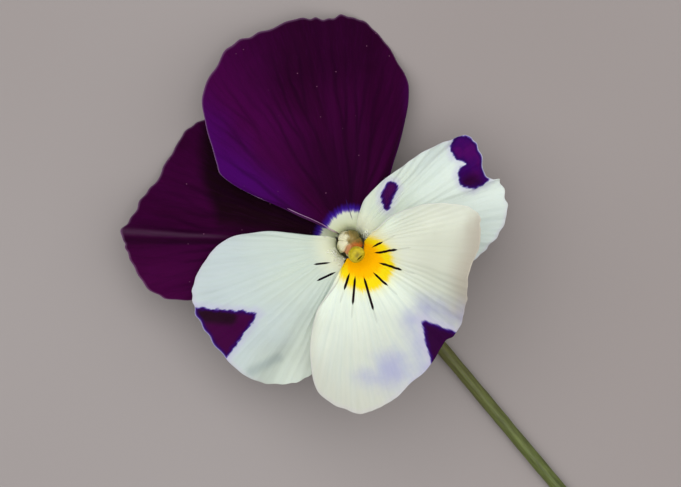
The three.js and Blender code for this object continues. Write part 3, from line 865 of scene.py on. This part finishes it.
def side_right_finish():
    """The hooked patch along the rim, darker at its lower end, and the small pointed one. Part of
    the lower half is painted lighter, painted light where the lower petal's lobe shades it.
    """
    made, start = material("right cream")
    place, x, y, radius, turn, along, fine, colour, height = cream_base(
        start, SIDE_RIGHT, 1.6, (206, 216, 198), (205, 217, 211))
    # painted light: paler where the lower petal's lobe shades this petal
    painted_light = turn.rise(18, -2) * turn.rise(-24, -8) * radius.rise(5, 9)
    colour = painted(colour, (painted_light * 0.75, (224, 236, 227)))
    rim = (0.993 - along) * BLADE_LENGTH
    wander = (place.noise(1.3, 2.0) - 0.5) * 0.5
    first = 1.2 - from_spot(x, y, (0.95, 14.0))
    second = 1.25 - from_spot(x, y, (3.3, 12.7), (3.5, 13.4))
    bridge = 1.05 - from_spot(x, y, (1.4, 14.2), (3.0, 14.0))
    hook = first.most(second).most(bridge) + wander
    inside = painted(
        tone(52, 2, 86),
        (place.noise(0.6, 2.0).rise(0.35, 0.65), (72, 4, 88)),
        (from_spot(x, y, (4.0, 12.1)).rise(1.7, 0.5) * 0.8, (38, 2, 34)))
    colour = ink_patch(hook, rim, fine, colour, inside)
    broad = 0.6 - from_spot(x, y, (-1.1, 6.5), (-0.85, 5.75))
    narrow = 0.47 - from_spot(x, y, (-0.85, 5.7), (-0.5, 5.3))
    point = 0.3 - from_spot(x, y, (-0.5, 5.3), (-0.1, 4.9))
    small = broad.most(narrow).most(point) + wander * 0.6
    colour = ink_patch(small, rim, fine, colour, (64, 8, 72))
    cream_shader(start, colour, height, 0.055)
    return made


def side_left_folds(turn, radius, along):
    """A soft valley down the lower half, a swell beside it, and a small dent."""
    valley = -0.3 * np.exp(-((turn - 24) / 4) ** 2) * rise(radius, 7, 13)
    swell = 0.22 * np.exp(-((turn + 4) / 9) ** 2) * np.sin(np.pi * np.clip(along, 0, 1))
    return valley + swell - 0.12 * np.exp(-((turn + 24) / 3) ** 2) * rise(radius, 4, 10)


def side_right_folds(turn, radius, along):
    """Close pleats that run from the throat to the rim."""
    return 0.05 * np.sin(np.radians(turn) * 34) * rise(radius, 4, 9)


def hairs(places, heads, lengths, seed):
    """Beard of soft clubbed hairs: each is a bent six-sided tube from its place on the petal along
    its heading, drooping as the square of the way, with a round head."""
    draw = np.random.default_rng(seed)
    share = np.linspace(0, 1, 6)[:, None]
    for place, head, length in zip(places, heads, lengths):
        droop = draw.normal(0, 0.1, 3)
        path = place + head * share * length + (droop + [0, 0, -0.1]) * share ** 2 * length
        radius = HAIR_RADIUS * (1 + 1.1 * rise(share[:, 0], 0.5, 0.95))
        radius = radius * np.where(share[:, 0] == 1, 0.5, 1)
        yield sweep(path, radius, 6, (0.31, 0.95, 0.1), part=1.0)


def beard_shells(petal, count, turns, radii, seed):
    """Hairs strewn evenly over the foot of a petal, between two angles and two distances, leaning
    towards the stigma and up."""
    draw = np.random.default_rng(seed)
    turn = draw.uniform(*turns, count)
    radius = draw.uniform(*radii, count)
    height = -0.2 - petal["dip"] * funnel(radius) - petal["layer"] * LAYER_STEP * 0.9
    places = polar(turn, radius, height)
    heads = unit(STIGMA_AT - places + draw.normal(0, 0.35, (count, 3)) + [0, 0, 0.9])
    return hairs(places, heads, draw.uniform(0.3, 0.65, count), seed + 1)


def beard_finish():
    """Clear white hairs, a little yellow at the foot."""
    made, start = material("beard hair")
    length = start.lay().parts()[1]
    colour = painted(tone(240, 244, 196), (length.rise(0.0, 0.5), (252, 253, 244)))
    start.finish({"Base Color": colour, "Roughness": 0.4, **flesh(0.6, (1.0, 1.0, 0.9), 0.2)})
    return made


piece("petal_side_left", [petal_shell(SIDE_LEFT, 37, side_left_folds, 0.022)], side_left_finish(),
      "petal_white", "petal_side_left")
piece("petal_side_right", [petal_shell(SIDE_RIGHT, 41, side_right_folds, 0.036)],
      side_right_finish(), "petal_white", "petal_side_right")
beard = beard_finish()
for name, petal, count, turns, radii, seed in [
        ("beard_left", SIDE_LEFT, 120, (238, 294), (1.5, 2.6), 51),
        ("beard_right", SIDE_RIGHT, 40, (67, 88), (1.55, 2.3), 53)]:
    piece(name, beard_shells(petal, count, turns, radii, seed), beard, "petal_white")

# ------------------------------------------------------------------------------------------------
# Lower petal with the spur
# The white landing lip for insects: yellow to orange at the throat, with dark guide lines, a purple
# wedge and a lavender flush. Its right lobe stands up. Behind, it runs on as a hollow green spur.
# ------------------------------------------------------------------------------------------------
LOWER = {
    "turn": 0, "foot": (60, -57), "reach": 14.0, "rise": 8.6, "layer": 0, "dip": 0.6,
    "bend": 1.6, "arch": 0.1, "ruffle": 0.2, "waves": 2, "phase": 0.5,
    "outline": [
        [78, 0.19, 0.12], [78.5, 0.37, 0.30], [74, 0.56, 0.56], [66, 0.77, 0.83],
        [58, 0.865, 0.97], [47, 0.85, 1.0], [34, 0.80, 0.93], [24, 0.845, 0.77],
        [16, 0.875, 0.60], [6.5, 0.92, 0.42], [-0.5, 0.91, 0.35], [-10, 0.965, 0.38],
        [-24.5, 1.045, 0.48], [-38, 1.13, 0.53], [-48, 1.09, 0.51], [-57, 0.99, 0.43],
        [-64.5, 0.76, 0.23], [-69.5, 0.54, 0.12], [-62, 0.26, 0.06]]}
SPUR_LENGTH = 5.2
SPUR_RADIUS = 0.95
SPUR_TIP = 0.65
SPUR_WALL = 0.26
SPUR_DIP = np.radians(28)
SPUR_AXIS = np.array([np.cos(SPUR_DIP), 0, -np.sin(SPUR_DIP)])
SPUR_MOUTH = (np.array([THROAT_RADIUS, 0, -LOWER["dip"] * funnel(THROAT_RADIUS)])
              + (SPUR_WALL / 2 - SPUR_RADIUS) * np.array([-SPUR_AXIS[2], 0, SPUR_AXIS[0]]))
GUIDES = [                       # start, heading in degrees, length, half width
    ((1.98, -2.0), -62, 1.6, 0.15), ((2.56, -1.8), -49, 2.65, 0.14), ((3.2, -1.25), -28, 3.2, 0.14),
    ((3.5, -0.29), 3, 1.85, 0.14), ((3.2, 0.75), 29, 2.25, 0.14), ((2.25, 1.1), 55, 2.15, 0.14),
    ((1.7, 1.35), 74, 1.1, 0.13)]
GUIDE_TAIL = 1.3                 # how far a guide line fades on
LAVENDER = [                     # reach, and the spot or the two ends of the stroke that it is from
    (2.0, [(11.2, -5.2)]), (0.9, [(9.9, -7.6), (11.3, -6.3)]), (0.9, [(9.2, -0.9), (13.0, -3.0)]),
    (1.0, [(9.2, 1.0), (12.0, 2.5)])]


def spur_wall(mouth, tip, end):
    """Profile of one face of the spur, as [radius, distance in]: a straight taper, then a quarter
    circle over the tip."""
    bow = np.linspace(0, np.pi / 2 - 0.08, 14)[1:]
    return stacked(np.append(np.linspace(mouth, tip, 40), tip * np.cos(bow)),
                   np.append(np.linspace(-0.15, end - tip, 40), end - tip + tip * np.sin(bow)))


def spur_shell(around=48):
    """The spur: one closed skin about its axis, which runs up its inside from the tip to the mouth
    and down its outside to the tip again, with a few soft lumps round it."""
    end = SPUR_LENGTH - SPUR_RADIUS
    outside = spur_wall(SPUR_RADIUS, SPUR_TIP, end)
    inside = spur_wall(SPUR_RADIUS - SPUR_WALL, SPUR_TIP - SPUR_WALL, end - SPUR_WALL)
    far, down = np.vstack([inside[::-1], outside]).T[..., None]
    turn = full_turn(around)
    lumps = 1 + 0.02 * np.sin(3 * turn + 0.4) + 0.015 * np.sin(5 * turn + 1.5 * down)
    beside = np.array([0, 1, 0])
    up = np.cross(SPUR_AXIS, beside)
    rings = (SPUR_MOUTH + down[..., None] * SPUR_AXIS
             + (far * lumps * np.cos(turn))[..., None] * beside
             + (far * lumps * np.sin(turn))[..., None] * up)
    return tube(rings, stacked(turn / (2 * np.pi), down, 2.0))


def lower_finish():
    """White lip with its markings, and painted light on the upper part of the standing lobe, which
    faces away from the lamp. The spur, where the third number of the lay is 2, is pale green with a
    violet tinge at its tip."""
    made, start = material("lip cream")
    place, x, y, radius, turn, along, fine, colour, height = cream_base(
        start, LOWER, 0.9, (229, 240, 225), (203, 209, 197))
    part = start.lay().parts()[2]
    lobe = turn + (place.noise(0.3) - 0.5) * 20.0
    # painted light: the upper part of the standing lobe made paler, as it faces away from the lamp
    painted_light = lobe.rise(40, 64) * radius.rise(4, 9) * radius.rise(13.5, 10)
    flush = place.vector("ADD", (0, 0, 3)).noise(0.5, 3.0, 0.6)
    worn = along.rise(0.74, 1.0) * lobe.rise(8, 20) * lobe.rise(64, 50)
    spots = reduce(Signal.most, [reach - from_spot(x, y, *ends) for reach, ends in LAVENDER])
    tooth = ((turn * 0.09).noise(1.0, 3.0) - 0.5) * 1.0 + (fine - 0.5) * 0.9
    glow = from_spot(x, y, (2.35, -0.25)) + tooth
    core = from_spot(x, y, (2.0, -0.2)) + tooth
    colour = painted(
        colour,
        (lobe.rise(6, 30) * lobe.rise(80, 56) * 0.85, (213, 217, 200)),
        (painted_light * 0.75, (236, 242, 226)),
        (along.rise(0.7, 1.0) * turn.rise(-18, -34) * 0.5, (190, 190, 178)),
        (worn * 0.55, (170, 152, 138)),
        ((spots + (flush - 0.5) * 2.4).rise(-1.3, 2.0) * 0.7, (152, 153, 198)),
        (glow.rise(3.9, 2.5) * 0.3, (236, 230, 140)),
        (glow.rise(2.95, 2.3), (238, 212, 18)),
        (core.rise(2.05, 1.45), (255, 184, 0)))
    upper = beyond(x, y, (12.93, 1.35), (9.8, -0.15))
    lower = beyond(x, y, (9.8, -0.15), (13.48, -2.25))
    wedge = inside_both(upper + 0.1, lower + 0.1) + (flush - 0.5) * 0.6
    colour = ink_patch(wedge, (1.1 - along) * BLADE_LENGTH, fine, colour, (44, 3, 50))
    wander = (place.noise(1.6, 2.0) - 0.5) * 0.12
    x, y = x + wander, y - wander
    lines = []
    for spot, degrees, length, width in GUIDES:
        tail = dart(x, y, spot, degrees, length + GUIDE_TAIL, 0.8 * width)
        lines += [dart(x, y, spot, degrees, length, width), tail * 0.14]
    green = painted(
        tone(170, 184, 130),
        (place.noise(1.5, 3.0).rise(0.3, 0.7), (196, 204, 158)),
        (along.rise(2.2, 4.4) * 0.6, (136, 112, 150)))
    colour = painted(colour, (reduce(Signal.most, lines), (22, 4, 12)), (part.rise(1.4, 1.6), green))
    cream_shader(start, colour, height, 0.03)
    return made


def lower_folds(turn, radius, along):
    """A shallow gutter down the middle, and gentle swells in both lobes."""
    gutter = -0.18 * np.exp(-((turn - 2) / 7) ** 2) * rise(radius, 3, 9)
    return gutter + 0.12 * np.exp(-((turn + 34) / 10) ** 2) * rise(radius, 5, 11)


piece("petal_lower", [petal_shell(LOWER, 61, lower_folds, 0.025, 0.14), spur_shell()],
      lower_finish(), "petal_white_yellow", "petal_lower")

# ------------------------------------------------------------------------------------------------
# Stamens
# Five of them stand in a closed cone round the ovary: two cream pollen sacs side by side, an
# orange-brown membrane at the tip, and a short stalk. The lower two carry nectar horns in the spur.
# ------------------------------------------------------------------------------------------------
ANTHER_RING = 0.92
ANTHER_LENGTH = 2.5
ANTHER_WIDTH = 1.0
ANTHER_DEPTH = 0.46
ANTHER_LEAN = np.radians(9)
ANTHER_MIDDLE = -2.15
FLAP_THICKNESS = 0.07
STALK_RADIUS = 0.15
HORN_RADIUS = 0.12
HORN_SPREAD = 0.22
CONE = [[1.04, -3.3], [1.17, -2.8], [1.24, -2.3], [1.22, -1.75], [1.1, -1.25], [0.86, -0.85],
        [0.52, -0.58], [0.02, -0.43]]
CONE_SHIFT = np.array([-0.16, 0.10, 0])   # the stigma pushes the top of the cone back


def sac(aside, seed):
    """Pollen sac: a long bead, squarer than an ellipsoid, with a seam down its inner face and a
    lumpy skin. The first parameter runs round it and the second along it."""
    turn = full_turn(28)
    along = np.linspace(0, np.pi, 34)[1:-1, None]
    swell = np.sin(along) ** 0.6
    seam = 1 - 0.22 * np.exp(-((np.abs(turn - np.pi)) / 0.22) ** 2)
    lumps = 1 + 0.025 * np.sin(5 * turn + seed) * np.sin(7 * along + seed)
    width = ANTHER_WIDTH * 0.29
    rings = stacked(ANTHER_DEPTH / 2 * np.cos(turn) * swell * seam * lumps,
                    width * np.sin(turn) * swell * lumps + aside,
                    -ANTHER_LENGTH / 2 * np.cos(along))
    return tube(rings, stacked(turn / (2 * np.pi), along / np.pi, 0.0))


def flap():
    """The band up a stamen's back. It follows the cone's profile, narrow between the sacs, then
    spreads round the axis as a smooth step until it covers a fifth of the cone's top; one edge
    stands off a little and covers the next flap's edge."""
    up = np.linspace(0, 1, 44)[:, None]
    across = np.linspace(1, -1, 20)[None]
    far, high = np.moveaxis(smooth(CONE, up), -1, 0)
    narrow = 0.13 / far
    spread = narrow + (np.radians(39) - narrow) * rise(high, -1.75, -1.05)
    far = far * (1 + 0.05 * across * rise(high, -1.5, -0.9)) - 0.02 * np.cos(2 * np.pi * across)
    middle = stacked(far * np.cos(across * spread), far * np.sin(across * spread), high)
    points, faces, ends, lay = sheet(middle, FLAP_THICKNESS, (across * 0.5 + 0.5, up))
    lay[:, 2] = 1.0
    return points, faces, ends, lay


def stamen_shells(degrees, horn, seed):
    """Two leaning sacs, the band that ends in a flap over the cone, the stalk, and the horn."""
    aside = ANTHER_WIDTH * 0.21
    shells = []
    for points, faces, ends, lay in (sac(aside, seed), sac(-aside, seed + 2)):
        x, y, z = points.T
        points = stacked(x * np.cos(ANTHER_LEAN) - z * np.sin(ANTHER_LEAN) + ANTHER_RING, y,
                         x * np.sin(ANTHER_LEAN) + z * np.cos(ANTHER_LEAN) + ANTHER_MIDDLE)
        shells.append((points, faces, ends, lay))
    foot = np.linspace(DOME_TOP - 0.05, DOME_TOP + 1.1, 12)[:, None] * [0, 0, 1]
    shells.append(flap())
    shells.append(sweep(foot + [ANTHER_RING + 0.12, 0, 0], np.full(12, STALK_RADIUS), 12, part=2.0))
    placed = []
    for points, faces, ends, lay in shells:
        points = turned_round(points, degrees)
        placed.append((points + CONE_SHIFT * rise(points[:, 2:], -3.6, -0.8), faces, ends, lay))
    if horn:
        mouth = SPUR_MOUTH * [1, 0, 1] + [0, horn * HORN_SPREAD, 0]
        knots = [polar(degrees, ANTHER_RING, ANTHER_MIDDLE),
                 *(mouth + reach * SPUR_AXIS for reach in (0.6, 1.2, 1.9, 2.6))]
        path = smooth(knots, np.linspace(0, 1, 40))
        radius = HORN_RADIUS * np.sqrt(1 - np.linspace(0, 0.98, 40) ** 6)
        placed.append(sweep(path, radius, 12, part=2.0))
    return placed


def stamen_finish():
    """Cream sacs with a dust of pollen, browner along the seam, and olive on the side away from the key
    lamp, which is painted shade. The flaps are cream on the side towards the key lamp, olive brown
    with painted shade on the other and orange next to the stigma. Green stalks."""
    made, start = material("anther skin")
    turn, along, part = start.lay().parts()
    place = start.place()
    x, y, z = place.parts()
    dust = place.noise(9.0, 3.0, 0.7)
    cloud = place.noise(1.8, 3.0)
    ribs = (turn * 14.0).joined(along * 1.5).noise(1.0, 2.0)
    sacs = painted(
        tone(206, 202, 150),
        (dust.rise(0.4, 0.65), (236, 234, 202)),
        (abs(turn - 0.5).rise(0.1, 0.02) * 0.6, (150, 130, 70)),
        # painted shade: the sacs olive on the side away from the key lamp
        ((y + x * 0.6 + (cloud - 0.5) * 2.0).rise(-0.1, 0.8), (116, 108, 52)))
    # painted shade on the flaps: olive brown on the side away from the key lamp
    shade = y + x * 0.5 + (cloud - 0.5) * 1.6 + (ribs - 0.5) * 0.6
    orange = (from_spot(x, y, STIGMA_AT) + (cloud - 0.5) * 0.8 + (ribs - 0.5) * 0.4).rise(1.45, 1.0)
    seam = abs(abs(turn - 0.5) - 0.5).rise(0.1, 0.0) * part
    membrane = painted(
        tone(234, 230, 192),
        (shade.rise(-0.35, 0.35), (142, 122, 66)),
        (shade.rise(0.3, 0.9) * 0.7, (92, 84, 32)),
        (z.rise(-0.9, -1.5) * 0.6, (98, 98, 44)),
        (orange * 0.8, (202, 110, 48)),
        (ribs.rise(0.5, 0.75) * 0.5, (134, 112, 54)),
        (seam * 0.5, (70, 72, 26)))
    colour = painted(sacs, (part.rise(0.4, 0.6), membrane), (part.rise(1.4, 1.6), (156, 170, 84)))
    start.finish({"Base Color": colour, "Roughness": 0.6, "Normal": (dust + ribs * 0.6).bump(0.05),
                  "Specular IOR Level": 0.3, **flesh(0.2, (1.0, 0.9, 0.5), 0.4)})
    return made


anther_cream = stamen_finish()
for name, degrees, horn, seed in [("stamen_top", 180, 0, 1), ("stamen_upper_left", -108, 0, 2),
                                  ("stamen_upper_right", 108, 0, 3),
                                  ("stamen_lower_left", -36, -1, 4),
                                  ("stamen_lower_right", 36, 1, 5)]:
    piece(name, stamen_shells(degrees, horn, seed), anther_cream, "anther_cream", name)

# ------------------------------------------------------------------------------------------------
# Pistil
# Green egg-shaped ovary on the dome, a thin style with a bend in it, and the round olive-yellow
# stigma, hollow, with its mouth and a small lip turned to the lower petal.
# ------------------------------------------------------------------------------------------------
OVARY_LENGTH = 1.9
OVARY_FOOT = -3.9
STIGMA_HOLE = 0.44
STIGMA_LIP = 0.07                # radius of the rounded edge of the mouth
STIGMA_FACING = np.radians(41)


def turned_shell(centre, axis, profile, part, squash=1.0, around=48):
    """A closed skin turned about an axis from its profile of [distance, height] pairs. squash, one
    number or one for each pair, flattens it across."""
    axis = np.asarray(axis, float)
    beside = np.array([0, 1.0, 0])
    up = np.cross(axis, beside)
    turn = full_turn(around)
    far, high = np.asarray(profile, float).T
    rings = (centre + high[:, None, None] * axis
             + (far[:, None] * np.cos(turn))[..., None] * beside
             + (far[:, None] * np.sin(turn) * np.reshape(squash, (-1, 1)))[..., None] * up)
    return tube(rings, stacked(turn / (2 * np.pi), high[:, None], part))


def pistil_shells():
    """Ovary, style and stigma. The style widens into the head, which makes the two a pear. The
    head's profile runs over the outside of a ball, rounds its mouth, which is squashed to a slit,
    and goes back down the inside."""
    swell = np.linspace(0.03, np.pi - 0.03, 40)
    ovary = turned_shell([0, 0, OVARY_FOOT + OVARY_LENGTH / 2], [0, 0, 1],
                         stacked(OVARY_RADIUS * np.sin(swell) ** 0.85,
                                 -OVARY_LENGTH / 2 * np.cos(swell)), 0.0)
    lean = np.array([STIGMA_AT[0], STIGMA_AT[1], 0])
    knots = [np.array([0, 0, OVARY_FOOT + 0.8 * OVARY_LENGTH]), 0.1 * lean + [0, 0, -1.3],
             0.5 * lean + [0, 0, -0.85], 0.9 * lean + [0, 0, 0.1], STIGMA_AT]
    share = np.linspace(0, 0.93, 50)
    style = sweep(smooth(knots, share), 0.13 + 0.42 * rise(share, 0.6, 1.0), 24, part=1.0)
    facing = np.array([np.sin(STIGMA_FACING), 0, np.cos(STIGMA_FACING)])
    lip = np.arcsin(STIGMA_HOLE / STIGMA_RADIUS)
    over = np.linspace(0.03, np.pi - lip - 0.12, 44)
    outside = STIGMA_RADIUS * stacked(np.sin(over), -np.cos(over))
    roll = np.linspace(0, np.pi, 8)[1:]
    rolled = outside[-1] - [STIGMA_LIP, 0.0] + STIGMA_LIP * stacked(np.cos(roll), np.sin(roll))
    down = np.linspace(0, np.pi / 2 - 0.06, 14)[1:]
    hollow = stacked(rolled[-1, 0] * np.cos(down), rolled[-1, 1] - 0.5 * np.sin(down))
    profile = np.vstack([outside, rolled, hollow])
    squash = 1 - 0.72 * rise(profile[:, 1], 0.25 * STIGMA_RADIUS, 0.85 * STIGMA_RADIUS)
    squash[len(outside):] = squash[len(outside) - 1]
    head = turned_shell(STIGMA_AT, facing, profile, 1.0, squash)
    return [ovary, style, head]


def pistil_finish():
    """Green ovary and style; olive-yellow stigma, waxy, with painted shade, dark olive, inside its
    mouth.
    """
    made, start = material("stigma wax")
    part = start.lay().parts()[2]
    place = start.place()
    mottle = place.noise(3.5, 3.0)
    patchy = mottle.rise(0.3, 0.7)
    x, y, z = place.vector("SUBTRACT", tuple(STIGMA_AT)).parts()
    depth = (x * x + y * y + z * z) ** 0.5
    # painted shade: dark olive inside the stigma's mouth
    wax = painted(tone(172, 153, 12), (patchy, (200, 180, 24)), (depth.rise(0.72, 0.5), (98, 86, 10)))
    colour = painted(tone(120, 142, 62), (patchy, (150, 168, 84)), (part.rise(0.7, 0.9), wax))
    start.finish({"Base Color": colour, "Roughness": 0.35 + mottle * 0.2,
                  "Normal": place.noise(10.0, 2.0).bump(0.02), "Specular IOR Level": 0.3,
                  **flesh(0.2, (1.0, 0.9, 0.2), 0.4)})
    return made


piece("pistil", pistil_shells(), pistil_finish(), "stigma_olive", "pistil")

# ------------------------------------------------------------------------------------------------
# Table, light and camera
# A plain pale grey table, a large soft lamp on one side, a weaker one on the other, and a camera
# that looks straight down on the flower's face.
# ------------------------------------------------------------------------------------------------
TABLE_HALF = 1.5                 # metres, as are the lamps' offsets and sizes
LENS = 156.9
SENSOR_WIDTH = 36.0
CAMERA_OFFSET = (-0.656, -0.612, 280.0)   # millimetres from the throat
CAMERA_TURN = 46.0


def table_finish():
    """Matt pale grey, with a faint large cloud in it."""
    made, start = material("grey table")
    cloud = start.place().noise(0.01, 2.0)
    colour = painted(tone(146, 138, 136), (cloud.rise(0.2, 0.8), (155, 149, 148)))
    start.finish({"Base Color": colour, "Roughness": 0.85, "Specular IOR Level": 0.2})
    return made


def lamp(name, offset, size, power):
    """A square soft lamp, offset in metres from the throat and turned to face it."""
    light = bpy.data.lights.new(name, "AREA")
    light.size = size
    light.energy = power
    obj = bpy.data.objects.new(name, light)
    obj.location = throat * MM + offset
    obj.rotation_euler = Vector(-np.array(offset)).to_track_quat("-Z", "Y").to_euler()
    bpy.context.scene.collection.objects.link(obj)


table_mesh = bpy.data.meshes.new("table")
corners = [(-1, -1, 0), (1, -1, 0), (1, 1, 0), (-1, 1, 0)]
table_mesh.from_pydata((TABLE_HALF * np.array(corners)).tolist(), [], [(0, 1, 2, 3)])
table_mesh.materials.append(table_finish())
table = bpy.data.objects.new("table", table_mesh)
bpy.context.scene.collection.objects.link(table)

lamp("key", (-0.20, -0.05, 0.60), 1.0, 4.9)
lamp("fill", (0.26, 0.19, 0.55), 1.0, 2.2)
world = bpy.data.worlds.new("room")
world.use_nodes = True
world.node_tree.nodes["Background"].inputs["Color"].default_value = tone(222, 218, 216)
world.node_tree.nodes["Background"].inputs["Strength"].default_value = 0.38
bpy.context.scene.world = world
bpy.context.scene.view_settings.view_transform = "Standard"

view = bpy.data.cameras.new("camera")
view.sensor_width = SENSOR_WIDTH
view.lens = LENS
camera = bpy.data.objects.new("camera", view)
camera.location = (throat + CAMERA_OFFSET) * MM
camera.rotation_euler = (0, 0, np.radians(CAMERA_TURN))
bpy.context.scene.collection.objects.link(camera)
bpy.context.scene.camera = camera
